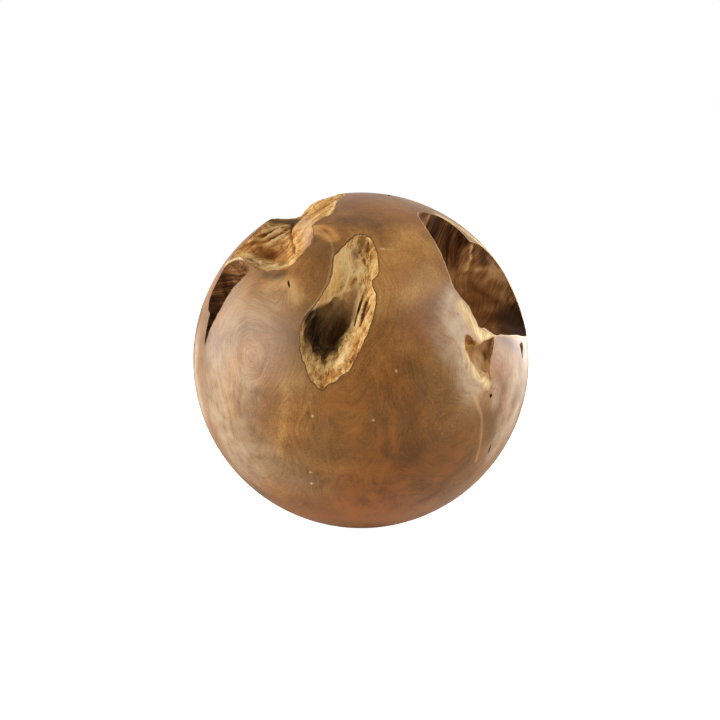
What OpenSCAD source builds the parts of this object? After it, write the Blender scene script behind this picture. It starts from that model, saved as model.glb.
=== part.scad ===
// Teak root ball: one solid ball turned and sanded from the root of a teak
// tree. The hollows, splits and borer hole that grew in the root stay open.
// The centre of the ball is the origin, +Z is up and the front is towards -Y.

/* [Ball] */
// Diameter of the sanded ball
ball_d = 300; // [260:5:400]
// Height of the fibre ridges on the walls of the hollows
ridge_h = 1.7; // [0:0.1:2.5]
// Width of a fibre ridge
ridge_w = 11; // [10:1:24]
// Length over which the ridges sway to one side and back
sway_length = 90; // [60:5:200]

/* [Front hollow] */
// Turn of its axis from the front towards the right
front_turn = -5; // [-10:1:2]
// Rise of its axis above the middle
front_rise = 25; // [20:1:30]
// Width of its mouth
front_w = 62; // [50:1:70]
// Height of its mouth
front_h = 138; // [120:1:145]
// Depth of its pit under the ball's surface
front_depth = 72; // [50:1:85]

/* [Right hollow] */
// Turn of its axis from the front towards the right
right_turn = 62; // [58:1:66]
// Rise of its axis above the middle
right_rise = 34; // [32:1:38]
// Width of its mouth
right_w = 106; // [90:1:110]
// Height of its mouth
right_h = 134; // [120:1:138]
// Depth of its floor under the ball's surface
right_depth = 60; // [40:1:75]

/* [Upper hollow] */
// Turn of its axis from the front towards the right
upper_turn = -72; // [-76:1:-68]
// Rise of its axis above the middle
upper_rise = 62; // [58:1:64]
// Width of its mouth
upper_w = 150; // [130:1:156]
// Height of its mouth
upper_h = 120; // [105:1:124]
// Depth of its pit under the ball's surface
upper_depth = 28; // [18:1:40]

/* [Left split] */
// Turn of its axis from the front towards the right
split_turn = -64; // [-68:1:-60]
// Rise of its axis above the middle
split_rise = 22; // [18:1:24]
// Width of its mouth
split_w = 50; // [40:1:54]
// Height of its mouth
split_h = 78; // [66:1:84]
// Depth of its floor under the ball's surface
split_depth = 30; // [20:1:40]

/* [Small hollow] */
// Turn of its axis from the front towards the right
small_turn = 43; // [41:1:45]
// Rise of its axis above the middle
small_rise = 7; // [4:1:7]
// Width of its mouth
small_w = 36; // [30:1:38]
// Height of its mouth
small_h = 42; // [36:1:44]
// Depth of its floor under the ball's surface
small_depth = 16; // [8:1:22]

/* [Chip under the right hollow] */
// Turn of its axis from the front towards the right
chip_turn = 68; // [64:1:74]
// Rise of its axis above the middle
chip_rise = 6; // [2:1:7]
// Width of its mouth
chip_w = 16; // [10:1:20]
// Height of its mouth
chip_h = 14; // [10:1:18]
// Depth of its floor under the ball's surface
chip_depth = 6; // [3:1:10]

/* [Drying cracks] */
// Width of a drying crack at its middle
crack_w = 1.8; // [1:0.1:3]
// Depth of the cracks in the ball's surface
crack_depth = 9; // [4:1:15]
// Length of the crack between the upper hollow and the front one
left_crack_length = 9; // [5:1:16]
// Length of the crack low on the right
right_crack_length = 12; // [6:1:20]
// Length of the crack at the top
top_crack_length = 12; // [6:1:20]
// Length of the slot in the wall of the front hollow
slot_length = 24; // [14:1:30]
// Depth of that slot under the ball's surface
slot_depth = 30; // [26:1:36]

/* [Borer hole] */
// Diameter of the borer hole
borer_d = 3.5; // [2:0.5:6]
// Depth of the borer hole
borer_depth = 14; // [6:1:25]
// Turn of the borer hole from the front towards the right
borer_turn = 47; // [44:1:52]
// Rise of the borer hole above the middle
borer_rise = -6; // [-12:1:-4]

/* [Hidden] */

ball_r = ball_d / 2;
// How far the cutting shapes stand out of the ball before they close
clear_r = 6;
// Drop of a wall at the edge of its mouth, before the depths of its outlines
lip = 1;
wood = "#a06f3c";
raw_wood = "#cfa25c";
dark_wood = "#5a3820";

// Outline points run clockwise as seen from outside, in percent of the half
// width and half height of the mouth. A third number is the depth in percent.
front_mouth = [
    [26, 101], [58, 89], [75, 68], [79, 47], [64, 30], [76, 12], [66, -20],
    [49, -41], [13, -73], [-36, -89], [-63, -95], [-96, -81], [-118, -54],
    [-121, -29], [-106, -9], [-79, 5], [-47, 34], [-38, 65], [-15, 84]
];
// The crest of the smooth left slope and the middle of the fibrous right one
front_slope = [
    [26, 98, 11], [59, 79, 8], [65, 49, 11], [58, 21, 12], [41, -22, 15],
    [-4, -63, 15], [-58, -82, 11], [-97, -68, 8], [-119, -36, 4], [-87, -1, 7],
    [-42, 18, 12], [-6, 62, 12]
];
// The trough and the edge over which it drops into the pit
front_edge = [
    [25, 49, 17], [38, 36, 18], [36, 20, 21], [27, 4, 24], [5, -20, 31],
    [-32, -48, 31], [-69, -65, 21], [-100, -55, 12], [-116, -36, 7],
    [-89, -2, 11], [-48, 18, 18], [-1, 26, 19]
];
// The pit at its widest, undercut behind the upper left edge
front_pit = [
    [-14, 19, 40], [-3, 9, 46], [-4, -1, 53], [-18, -13, 60], [-40, -27, 61],
    [-69, -43, 56], [-98, -49, 47], [-120, -42, 42], [-132, -22, 36],
    [-112, 4, 38], [-79, 25, 43], [-38, 24, 40]
];

right_mouth = [
    [-28, 113], [10, 99], [20, 75], [16, 53], [21, 50], [58, 40], [86, 9],
    [81, -27], [87, -61], [83, -87], [-26, -81], [-60, -74], [-74, -66],
    [-88, -60], [-94, -36], [-104, 0], [-85, 42], [-62, 85]
];

upper_mouth = [
    [8, 92], [38, 68], [67, 42], [72, 11], [96, -9], [104, -43], [100, -66],
    [77, -87], [49, -92], [13, -92], [-10, -100], [-15, -79], [-17, -35],
    [-80, 12], [-103, 42], [-82, 56], [-57, 71], [-37, 95]
];
// The slopes under its edge
upper_slope = [
    [11, 78, 8], [36, 48, 17], [51, 12, 25], [83, -23, 29], [88, -59, 25],
    [57, -84, 25], [10, -87, 17], [-13, -81, 12], [-14, -44, 17],
    [-45, 10, 30], [-40, 40, 48], [-24, 60, 20]
];
// The basin in the floor, beside the near edge of the mouth
upper_basin = [
    [22, 4, 50], [33, -3, 54], [48, -15, 58], [59, -30, 67], [63, -48, 71],
    [44, -67, 62], [14, -74, 46], [-9, -71, 29], [-9, -55, 29], [-12, -30, 40],
    [-16, 0, 52], [4, 4, 50]
];

split_mouth = [
    [12, 111], [83, 105], [108, 88], [74, 44], [49, -8], [15, -54], [-8, -90],
    [-20, -46], [-22, -21], [-60, -9], [-87, 20], [-89, 61], [-89, 94]
];

small_mouth = [
    [-16, 52], [29, 62], [95, 71], [73, 14], [44, -28], [50, -100], [22, -62],
    [-16, -76], [-55, -33], [-89, 10], [-100, 57], [-81, 91]
];

chip_mouth = [[-30, 90], [70, 100], [90, 60], [30, -90], [-10, 30]];

// Drying cracks: turn, rise, roll, length, depth
cracks = [
    [-28, 32, 29, left_crack_length, crack_depth],
    [55, -26, 15, right_crack_length, crack_depth],
    [70, 80, -70, top_crack_length, crack_depth],
    [-1, 26, -16, slot_length, slot_depth]
];

// An outline with its corners eased by their neighbours
function eased(outline) = let (k = len(outline)) [
    for (i = [0 : k - 1])
        (outline[(i + k - 1) % k] + 2 * outline[i] + outline[(i + 1) % k]) / 4
];

// An outline eased and drawn in to the share k towards a point, at a depth in percent
function inward(outline, k, to, depth) = [
    for (p = eased(outline)) [to.x + k * (p.x - to.x), to.y + k * (p.y - to.y), depth]
];

// A smooth curve through b and c, t of the way from b to c
function spline(a, b, c, d, t) = 0.5 * (2 * b + (c - a) * t
    + (2 * a - 5 * b + 4 * c - d) * t * t + (3 * b - a - 3 * c + d) * t * t * t);

function with_depth(p) = [p.x, p.y, len(p) > 2 ? p[2] : 0];

// A closed smooth loop of n points through the points of an outline
function smooth_loop(outline, n) = let (p = [for (o = outline) with_depth(o)], k = len(p)) [
    for (j = [0 : n - 1]) let (u = j * k / n, i = floor(u))
        spline(p[(i + k - 1) % k], p[i], p[(i + 1) % k], p[(i + 2) % k], u - i)
];

// The loop at q of the way down through a list of loops
function loop_at(loops, q) = let (
    last = len(loops) - 1, i = min(floor(q * last), last - 1), t = q * last - i,
    a = loops[max(i - 1, 0)], b = loops[i], c = loops[i + 1], d = loops[min(i + 2, last)]
) [for (j = [0 : len(b) - 1]) spline(a[j], b[j], c[j], d[j], t)];

function centre_of(loop) = [for (p = loop) 1] * loop / len(loop);

// Fibre ridges at a point, u across the fibres, v along them, d down the wall
function ridges(u, v, d) = let (sway = 360 * v / sway_length)
    sin(360 * (u + 0.5 * d) / ridge_w + 60 * sin(sway))
    + 0.7 * sin(360 * (0.8 * u - d) / (1.7 * ridge_w) + 80 * sin(0.75 * sway + 40));

// Lays a point of a hollow, in millimetres across and in depth, into the ball
function in_ball(x, y, depth) = let (
    d = [x, y, sqrt(ball_r * ball_r - x * x - y * y)]
) d / ball_r * (ball_r - depth);

// A loop of a hollow in millimetres, its points pushed out and in by the ridges
function ridged(loop, size, lean, share) = let (
    c = centre_of(loop)
) [
    for (l = loop) let (
        x = l.x * size.x, y = l.y * size.y, d = l.z * size.z,
        out = [x - c.x * size.x, y - c.y * size.y],
        ridge = ridges(x * cos(lean) - y * sin(lean), x * sin(lean) + y * cos(lean), d),
        push = ridge_h * share * ridge / max(norm(out), 1)
    ) in_ball(x + out.x * push, y + out.y * push, d + lip)
];

// The cutting shape of a hollow, skinned through its outlines from the mouth down.
// The fibres in its walls lean to the right of its height.
module hollow(turn, rise, w, h, depth, lean, outlines, around, down) {
    loops = [for (o = outlines) smooth_loop(o, around)];
    size = [w / 200, h / 200, depth / 100];
    rings = [
        for (r = [0 : down]) let (q = r / down)
            ridged(loop_at(loops, q), size, lean, 0.2 + 0.8 * sin(180 * q))
    ];
    outside = [for (p = rings[0]) unit_of(p) * (ball_r + clear_r)];
    points = concat(
        [[0, 0, 2 * ball_r]], outside, [for (r = rings, p = r) p], [centre_of(rings[down])]);
    last = len(points) - 1;
    faces = concat(
        [for (j = [0 : around - 1]) [0, 1 + j, 1 + (j + 1) % around]],
        [
            for (r = [0 : down], j = [0 : around - 1]) let (
                a = 1 + r * around + j, b = 1 + r * around + (j + 1) % around
            ) each [[b, a, a + around], [b, a + around, b + around]]
        ],
        [for (j = [0 : around - 1]) [last, last - around + (j + 1) % around, last - around + j]]
    );
    rotate([90 - rise, 0, turn]) polyhedron(points = points, faces = faces);
}

function unit_of(p) = p / norm(p);

module front_hollow() {
    pit_middle = [-65, -8];
    color(raw_wood) hollow(
        front_turn, front_rise, front_w, front_h, front_depth, lean = 8,
        outlines = [
            front_mouth, front_slope, front_edge, front_pit,
            inward(front_pit, 0.75, pit_middle, 80), inward(front_pit, 0.3, pit_middle, 98)
        ],
        around = 108, down = 15);
}

module right_hollow() {
    floor_middle = [-8, -12];
    color(dark_wood) hollow(
        right_turn, right_rise, right_w, right_h, right_depth, lean = 40,
        outlines = [
            right_mouth, inward(right_mouth, 0.93, floor_middle, 35),
            inward(right_mouth, 0.72, floor_middle, 78), inward(right_mouth, 0.3, floor_middle, 100)
        ],
        around = 92, down = 10);
}

module upper_hollow() {
    basin_middle = [25, -56];
    color(raw_wood) hollow(
        upper_turn, upper_rise, upper_w, upper_h, upper_depth, lean = 5,
        outlines = [
            upper_mouth, upper_slope, upper_basin, inward(upper_basin, 0.5, basin_middle, 85)
        ],
        around = 96, down = 11);
}

module left_split() {
    floor_middle = [-25, 30];
    color(dark_wood) hollow(
        split_turn, split_rise, split_w, split_h, split_depth, lean = 80,
        outlines = [
            split_mouth, inward(split_mouth, 0.85, floor_middle, 50),
            inward(split_mouth, 0.35, floor_middle, 100)
        ],
        around = 44, down = 6);
}

module small_hollow() {
    floor_middle = [-10, 20];
    color(raw_wood) hollow(
        small_turn, small_rise, small_w, small_h, small_depth, lean = 15,
        outlines = [
            small_mouth, inward(small_mouth, 0.8, floor_middle, 55),
            inward(small_mouth, 0.35, floor_middle, 100)
        ],
        around = 48, down = 5);
}

module chip() {
    floor_middle = [20, 50];
    color(raw_wood) hollow(
        chip_turn, chip_rise, chip_w, chip_h, chip_depth, lean = 15,
        outlines = [
            chip_mouth, inward(chip_mouth, 0.7, floor_middle, 70),
            inward(chip_mouth, 0.2, floor_middle, 100)
        ],
        around = 20, down = 3);
}

// A lens-shaped slot, as wood opens when it dries
module drying_crack(turn, rise, roll, length, depth) {
    bend_r = (length * length + crack_w * crack_w) / (4 * crack_w);
    rotate([90 - rise, 0, turn]) rotate(roll)
        translate([0, 0, ball_r - depth]) linear_extrude(depth + clear_r)
            intersection_for (side = [-1, 1])
                translate([side * (bend_r - crack_w / 2), 0]) circle(r = bend_r, $fn = 180);
}

module borer_hole() {
    rotate([90 - borer_rise, 0, borer_turn])
        translate([0, 0, ball_r - borer_depth])
            cylinder(d = borer_d, h = borer_depth + clear_r, $fn = 32);
}

module ball() {
    difference() {
        color(wood) rotate(90) sphere(d = ball_d, $fn = 180);
        front_hollow();
        right_hollow();
        upper_hollow();
        left_split();
        small_hollow();
        chip();
        color(dark_wood) {
            for (c = cracks) drying_crack(c[0], c[1], c[2], c[3], c[4]);
            borer_hole();
        }
    }
}

ball();
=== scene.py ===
import math

import bmesh
import bpy
from mathutils import Euler, Matrix, Vector, kdtree, noise


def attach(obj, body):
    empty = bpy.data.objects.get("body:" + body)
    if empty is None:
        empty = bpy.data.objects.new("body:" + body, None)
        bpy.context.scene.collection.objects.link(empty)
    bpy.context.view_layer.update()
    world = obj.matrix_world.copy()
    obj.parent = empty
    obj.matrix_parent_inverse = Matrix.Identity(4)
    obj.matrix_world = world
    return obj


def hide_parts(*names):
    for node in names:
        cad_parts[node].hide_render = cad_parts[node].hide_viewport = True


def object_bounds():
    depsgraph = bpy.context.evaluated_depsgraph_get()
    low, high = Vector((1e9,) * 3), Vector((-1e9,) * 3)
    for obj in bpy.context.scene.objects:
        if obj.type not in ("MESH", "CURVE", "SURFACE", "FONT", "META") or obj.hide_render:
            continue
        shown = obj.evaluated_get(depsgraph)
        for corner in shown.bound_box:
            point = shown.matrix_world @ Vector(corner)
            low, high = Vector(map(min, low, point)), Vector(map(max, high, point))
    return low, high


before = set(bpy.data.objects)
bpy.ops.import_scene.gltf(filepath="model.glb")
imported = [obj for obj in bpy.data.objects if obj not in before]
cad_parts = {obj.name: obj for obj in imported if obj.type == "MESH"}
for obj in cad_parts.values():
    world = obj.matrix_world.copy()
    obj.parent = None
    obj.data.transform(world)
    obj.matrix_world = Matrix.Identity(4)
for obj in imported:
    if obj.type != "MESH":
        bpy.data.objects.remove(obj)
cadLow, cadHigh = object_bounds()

mm = 0.001
ballR = cadHigh.z                      # the ball is centred on the origin
skinR = min(*cadHigh, *(-cadLow))      # the sanded face stays inside the box of the CAD model
scene = bpy.context.scene
noise.seed_set(1)                      # without a seed, marks would stray another way in each run


def hexToLinear(text):
    parts = [int(text[i:i + 2], 16) / 255 for i in (1, 3, 5)]
    return [c / 12.92 if c <= 0.04045 else ((c + 0.055) / 1.055) ** 2.4 for c in parts] + [1]


def smoothStep(low, high, value):
    t = min(max((value - low) / (high - low), 0), 1)
    return t * t * (3 - 2 * t)


def frameAt(turn, rise, lean=0):
    # across, along and out of the ball at a turn to the right and a rise, in degrees;
    # along leans to the right of straight up
    a, b, c = (math.radians(d) for d in (turn, rise, lean))
    out = Vector((math.sin(a) * math.cos(b), -math.cos(a) * math.cos(b), math.sin(b)))
    right = Vector((math.cos(a), math.sin(a), 0))
    up = out.cross(right)
    across = right * math.cos(c) - up * math.sin(c)
    along = right * math.sin(c) + up * math.cos(c)
    return Matrix((across, along, out))


def placeAt(turn, rise, depth=0):
    # a point on the face of the ball, or so many millimetres under it
    return frameAt(turn, rise)[2] * (ballR - depth * mm)


def link(obj):
    scene.collection.objects.link(obj)
    return obj


view = {
    "distance": 1.52525,     # metres from the middle of the ball
    "rise": 8,
    "lens": 85,
    "sensor": 36,
    "aside": -1 / 720,       # shifts that centre the ball, in parts of the frame's width
    "up": 0.3 / 720,
}

cameraData = bpy.data.cameras.new("camera")
cameraData.lens = view["lens"]
cameraData.sensor_width = view["sensor"]
cameraData.shift_x = view["aside"]
cameraData.shift_y = view["up"]
camera = link(bpy.data.objects.new("camera", cameraData))
camera.location = frameAt(0, view["rise"])[2] * view["distance"]
camera.rotation_euler = Euler((math.radians(90 - view["rise"]), 0, 0))
scene.camera = camera
print("camera set")


outside, rawWood, darkWall, crackWood = range(4)       # the woods, in the order of the materials
shares = ("tone", "warm", "pale", "stain", "bare")     # what a mark paints
noiseReach = 1.6                                       # noise ends near 0.6, and this brings it to 1


def mark(run, wide, **effects):
    # a mark along a run of places, each a turn, a rise and, in a hollow, a depth in mm; its effects are its
    # height, how calm the fibres are there, its tone (how much lighter or darker), the shares of warm, pale,
    # stained or bare wood, and its edge (how sharply it ends); on the sanded face some tones and pale shares
    # are painted highlights and reflections over paler wood, and in a hollow a tone that follows the height
    # is partly painted light on the ridges and painted shade in the gullies
    points = [placeAt(*place) for place in run]
    middle = sum(points, Vector()) / len(points)
    reach = max((p - middle).length for p in points) + 2.4 * wide * mm      # faded out beyond this
    return {"points": points, "middle": middle, "reach": reach, "wide": wide, **effects}


# Sizes in millimetres
ball = {
    "node": "ball",
    "weld": 0.02,            # corners of the CAD mesh this close are one
    "shortest": 0.001,       # edges shorter than this are dissolved
    "skinDepth": 0.05,       # corners less deep than this lie on the sanded face
    "crackArea": 200,        # a hollow of fewer square millimetres is a crack, apart from the chip,
    "crackFaces": 150,       # and so is one of fewer faces
    "rawEdge": 1.9,          # longest edge left in a raw hollow
    "darkEdge": 2.6,         # longest edge left in a smooth dark hollow
    "rimEdge": 1.7,          # longest edge beside a rim
    "skinEdge": 8,           # longest edge on the sanded face
    "thinMark": 5,           # a mark on the sanded face below this width gets finer edges,
    "thinShare": 0.6,        # of this share of its width
    "thinEdge": 0.9,         # and no finer than this,
    "thinStep": 2,           # at places this far apart
    "grading": 0.6,          # growth of the longest edge per mm away from a rim or a thin mark
    "passes": 5,             # times that the long edges are halved
    "easing": 5,             # smoothing passes that take the facets out of a hollow
    "rimWaves": [(7, 1), (3.2, 0.8)],      # length and height of the waves in which a rim wanders
    "rimReach": 5,           # how far the wander of a rim pulls at the wood beside it
    "reliefFade": 3,         # the relief fades to nothing over this distance from a rim
    "inkReach": 6,           # how far from a rim the ink of its hollow is noted
    "layerWaves": [(17, 0.8), (6, 0.35)],  # length and height of the sway of the growth layers
    "bend": 3,               # how far the fibres sway, unless a hollow has a bend of its own,
    "bendWave": 28,          # and the length of their waves
    "stray": 0.3,            # how far a mark strays, as a share of its width,
    "strayWave": 25,         # and the length of its waves
    # fibres: the way the fibres run; layers: across them, from one growth layer to the next
    # ridges: width, length and height of the torn fibres; steps: width and height of broken layers
    # ragged: how far the rim wanders; ink: how dark the line along it is, or how pale below 0, a worn edge
    # with a painted highlight on it
    # all: shares over the whole hollow, as a mark has them
    "hollows": [
        {"name": "front", "turn": -5, "rise": 25, "wood": rawWood,
         "fibres": (0.3, 0, 0.95), "layers": (1, 0.3, 0),
         "ridges": [(5, 30, 0.9), (2.6, 14, 0.6), (1.7, 6, 0.3)], "steps": (8, 0.9),
         "ragged": 0.8, "ink": 0.9,
         "marks": [
             # the smooth slope on the left and its crest
             mark([(-8, 45, 4.5), (-9, 39.5, 6.5), (-11, 34, 5), (-13.5, 29, 3)], 9, calm=0.9, tone=0.1,
                  warm=0.15, edge=3),
             mark([(-4, 49, 8), (-7, 45, 6), (-6, 42, 9), (-5.5, 39.5, 10.5), (-6.5, 34, 12),
                   (-7.5, 32, 13)], 1.2, high=0.9, tone=0.3, warm=0.15),
             mark([(-7.5, 32, 13), (-10.5, 30.5, 13), (-13, 27.5, 6), (-16, 24.5, 3.5), (-18.5, 22.5, 1.5)],
                  1.4, high=0.9, tone=0.15, warm=0.2),
             # torn pits at the top
             mark([(-0.5, 51.5, 6.5), (-0.5, 48, 10)], 1.3, high=-1.4, tone=-0.35, warm=0.3),
             mark([(1.2, 45, 9.5), (2, 42.5, 10.5)], 1, high=-1.2, tone=-0.35, warm=0.2),
             mark([(3.5, 51, 5.5), (3, 48, 7.5)], 1.2, high=-1.2, tone=-0.25, warm=0.3),
             mark([(-4, 48, 8), (-3, 46.5, 10)], 3.5, high=-0.8, tone=-0.2, pale=0.6),
             # the valley beside the crest and the crack beside the slot
             mark([(-3, 45, 11), (-3.5, 40, 12.5), (-4, 35, 13.5), (-5, 31, 22)], 3, high=-0.8, tone=-0.02,
                  warm=0.1),
             mark([(3, 29, 9.5), (1, 25.5, 12), (-0.5, 20, 12.5)], 1.1, high=-1.4, tone=-0.6),
             # the dark pit: darker stained wood with painted shade at the left, under the overhang, and
             # painted light on the deep walls that the lamps leave in shade
             mark([(-21, 22, 24), (-20, 16, 34)], 20, stain=0.96, edge=3),
             # painted light on the deep right wall
             mark([(-9, 29, 58), (-12, 27, 74), (-12, 20, 66)], 17, tone=0.6, warm=0.5),
             mark([(-7, 30, 30), (-8.5, 23, 50)], 1.3, tone=-0.6),
             mark([(-10, 29, 50), (-12, 22, 68)], 1.6, tone=-0.6),
             # painted shade along the left rim, under the overhang, over darker stained wood
             mark([(-16.5, 24.5, 6), (-17.5, 23, 4), (-19, 20.5, 5), (-20.5, 18.5, 8), (-21, 15, 14)], 4.5,
                  stain=0.96, edge=3),
             # painted light on the walls of the pit, in the next three marks
             mark([(-5, 25, 33), (-7, 21, 42), (-8, 16, 40)], 8, tone=0.4, warm=0.65),
             mark([(-8, 30.5, 32), (-5, 30.5, 28), (-4, 32.5, 22)], 5, tone=0.45, warm=0.4),
             mark([(-3, 33.5, 21), (-2, 26, 18), (-3, 21, 20)], 4.5, tone=0.5, warm=0.2),
             # darker and lighter wood in the valley, then the foot of the pit, and painted light on its roof
             mark([(2.8, 37, 8), (2.5, 33, 9)], 3, tone=-0.2),
             mark([(-2, 50, 6), (-2.5, 45, 9.5), (-3, 39, 12)], 4.5, tone=0.22),
             mark([(-18.5, 12, 26), (-18, 11, 10)], 7, stain=0.5),
             mark([(-15, 11, 32), (-15, 8.5, 18)], 8, stain=0.3),
             mark([(-9, 29.5, 44), (-8, 31, 26)], 8, tone=0.3, warm=0.35),
             # the torn edge of the shelf on the right, and the orange wood at the foot
             mark([(-3.5, 17, 17), (-4.5, 12, 15), (-6.5, 7.5, 12), (-10, 5, 11)], 2.5, high=1.1,
                  tone=0.12),
             mark([(-1, 17, 8), (-3, 10, 8), (-7, 4, 8)], 6, tone=-0.12, warm=0.1),
             mark([(-11.5, 0.5, 4), (-8.5, 3.5, 10)], 4, warm=0.6),
             mark([(-15, 7.5, 9)], 0.9, bare=1),
         ]},
        {"name": "right", "turn": 62, "rise": 34, "wood": darkWall,
         "fibres": (0.34, 0.1, 0.94), "layers": (1, 0.2, 0), "bend": 10,
         "ridges": [(9, 70, 0.5), (3.4, 40, 0.2)], "steps": (30, 0.2),
         "ragged": 0.3, "ink": -0.6, "all": {"tone": -0.03},
         "marks": [
             # fibre streaks of the upper wall, from the left end to the fold
             mark([(60.5, 62.5, 1), (55, 62, 9)], 2.5, tone=0.4),
             mark([(64.5, 60.5, 3.5), (62, 59, 15.5)], 3, tone=-0.2),
             mark([(67.5, 58.5, 2.5), (64.5, 56, 20.5)], 2, tone=0.15),
             mark([(68.5, 55.5, 1.5), (66, 52, 24)], 3, tone=-0.2),
             mark([(68.5, 53, 3), (66, 47.5, 27)], 2.5, tone=0.2),
             mark([(67.5, 50, 4), (69, 45, 26)], 3, tone=-0.2),
             mark([(57, 63, 2), (60, 61, 6.5), (67, 56, 8)], 7, stain=0.3),
             # the fold, and the wall beside it
             mark([(70.5, 46, 3.5), (75, 43.5, 15.5), (75, 41, 24.5)], 1.8, high=1, tone=0.5),
             mark([(71.5, 46, 1.5), (77, 42, 15)], 2.5, tone=-0.25),
             mark([(78, 43, 2.5), (81, 39, 9.5)], 5, tone=-0.2, stain=0.4),
             mark([(81, 40, 3), (82.5, 35.5, 5)], 1.8, tone=0.2, pale=0.6),
             mark([(83.5, 35, 1)], 3, tone=-0.3),
             # the light band and the swirl below it
             mark([(79, 39, 18), (81.5, 37, 8.5), (83.5, 33, 1)], 2.6, tone=0.35),
             mark([(80.5, 31, 21), (81, 33.5, 16), (82.5, 33, 8.5), (82, 30.5, 1.5)], 2, tone=0.25),
             mark([(81.5, 30.5, 10.5)], 5, tone=-0.15),
             mark([(83, 34, 5), (82, 28, 4), (80.5, 24, 8)], 8, tone=0.32),
             mark([(76, 36, 39), (80.5, 30.5, 21.5), (79, 26, 31)], 24, calm=1, tone=0.22, warm=0.35),
             mark([(78.5, 35.5, 28), (80.5, 30.5, 27.5), (79.5, 27.5, 21)], 1.8, tone=-0.25),
             mark([(80, 24.5, 16.5), (79, 21, 21.5), (78, 18, 29.5)], 1.8, tone=-0.2),
             mark([(80, 25, 6.5), (80.5, 21, 7.5), (80.5, 16.5, 2)], 1.8, tone=-0.2),
             # dark wood above the ledge
             mark([(80, 17, 12), (80.5, 13.5, 4), (77, 13, 12)], 12, stain=0.8, edge=6),
             mark([(52, 14, 6), (60, 12, 10), (70, 11, 9), (80, 10, 3)], 9, stain=0.7, edge=3),
         ]},
        {"name": "upper", "turn": -72, "rise": 62, "wood": rawWood,
         "fibres": (0.85, 0.1, 0.5), "layers": (-0.4, 0.5, 0.75),
         "ridges": [(6, 34, 0.9), (2.8, 16, 0.5), (1.7, 6, 0.25)], "steps": (7, 1.1),
         "ragged": 0.8, "ink": 0.3, "all": {"tone": -0.06, "warm": 0.12},
         "marks": [
             # the long gully and the pale smooth wood beside it
             mark([(-96, 64, 14), (-66, 59, 19), (-47.5, 53, 21), (-34, 41, 5.5)], 1.6, high=-1.6,
                  tone=-0.35),
             mark([(-105, 64.5, 12), (-34, 56, 6), (-25, 48, 0.5)], 8, calm=0.6, tone=0.05, pale=0.6),
             # ridges and gullies in turn at the left, the ridges lighter and the gullies darker: partly
             # painted light and painted shade
             mark([(-81, 52.5, 4.5), (-84.5, 56, 8), (-89, 61, 12)], 2, high=1.2, tone=0.3),
             mark([(-79.5, 50, 4), (-81, 54, 9), (-86, 60, 12.5)], 1.6, high=-1.2, tone=-0.3),
             mark([(-77.5, 47.5, 3), (-77.5, 52, 9.5), (-82.5, 58.5, 12)], 2, high=1.2, tone=0.3),
             mark([(-77, 47.5, 6), (-76, 52, 12), (-79, 58.5, 15)], 1.6, high=-1.2, tone=-0.3),
             mark([(-76, 47.5, 8.5), (-74.5, 52.5, 15), (-76, 58.5, 17.5)], 2, high=1.2, tone=0.3),
             # the dark ends, and the brown basin with its pit
             mark([(-29, 53, 1.5), (-24.5, 47.5, 0.5)], 5, tone=-0.35, warm=0.3),
             mark([(-74, 48.5, 14), (-71, 49, 19.5), (-70, 50, 22.5)], 4, high=-2, tone=-0.15, warm=0.3,
                  stain=0.3),
             mark([(-99, 57, 3), (-103, 60.5, 7.5), (-99, 63, 12)], 12, calm=0.6, stain=0.75, edge=3),
             mark([(-76, 47.5, 8), (-73.5, 48, 14.5), (-69, 49, 23), (-66, 51, 25)], 10, tone=-0.1,
                  warm=0.5, stain=0.22),
             # the light slope in front, with its lip and gully
             mark([(-69, 43, 9), (-55, 41, 11), (-49, 39.5, 7), (-36, 38.5, 3)], 5, tone=0.1, pale=0.3),
             mark([(-59, 48, 25), (-51.5, 50, 24.5)], 6, warm=0.6),
             mark([(-74, 36.5, 0.5), (-64, 40.5, 2), (-58.5, 40, 5)], 1.6, high=0.5, tone=0.4),
             mark([(-76, 43.5, 6.5), (-64.5, 42, 10), (-49.5, 39.5, 7), (-42, 40.5, 8.5),
                   (-33.5, 40.5, 4.5)], 4, tone=0.25),
             mark([(-68, 42.5, 9), (-60, 41.5, 9), (-52, 40, 8), (-44, 40, 7)], 1.4, high=-1.2, tone=-0.3),
             # the ridge at the top, and a nick at the back
             mark([(-45, 79, 3), (-26.5, 69.5, 2), (-27, 64.5, 2.5)], 2, high=0.5, tone=0.3),
             mark([(-119, 65, 9), (-121.5, 66.5, 8)], 1.5, high=-1.5, tone=-0.6),
         ]},
        {"name": "split", "turn": -64, "rise": 22, "wood": darkWall,
         "fibres": (0.95, 0.2, 0.15), "layers": (0, 0, 1),
         "ridges": [(6, 40, 0.5), (2.8, 24, 0.3)], "steps": (8, 0.4),
         "ragged": 0.4, "ink": 0.2,
         "marks": [
             # the dark foot and the light upper tip
             mark([(-72.5, 24, 7), (-66, 18.5, 2), (-65.5, 13.5, 0.5)], 10, stain=0.5),
             mark([(-73, 30, 7.5)], 14, tone=-0.06),
             mark([(-57, 36, 1.5), (-61, 33, 2.5)], 5, tone=0.3, warm=0.2),
         ]},
        {"name": "small", "turn": 43, "rise": 7, "wood": rawWood,
         "fibres": (0.1, 0, 1), "layers": (1, 0.3, 0),
         "ridges": [(4, 18, 0.8), (2, 8, 0.4)], "steps": (5, 0.8),
         "ragged": 0.8, "ink": 0.2, "all": {"tone": 0.15, "warm": 0.25},
         "marks": [
             # the dark upper corner, painted shade under the overhanging lip, and the paler back
             mark([(38, 13.5, 3), (41, 11.5, 6)], 4, tone=-0.3, stain=0.45, edge=3),
             mark([(44.5, 10.5, 9.5), (47, 8.5, 10), (48.5, 10, 7.5)], 6, tone=-0.05, pale=0.6),
             # fibres and cracks that run down, and the worn lower edge
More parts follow.
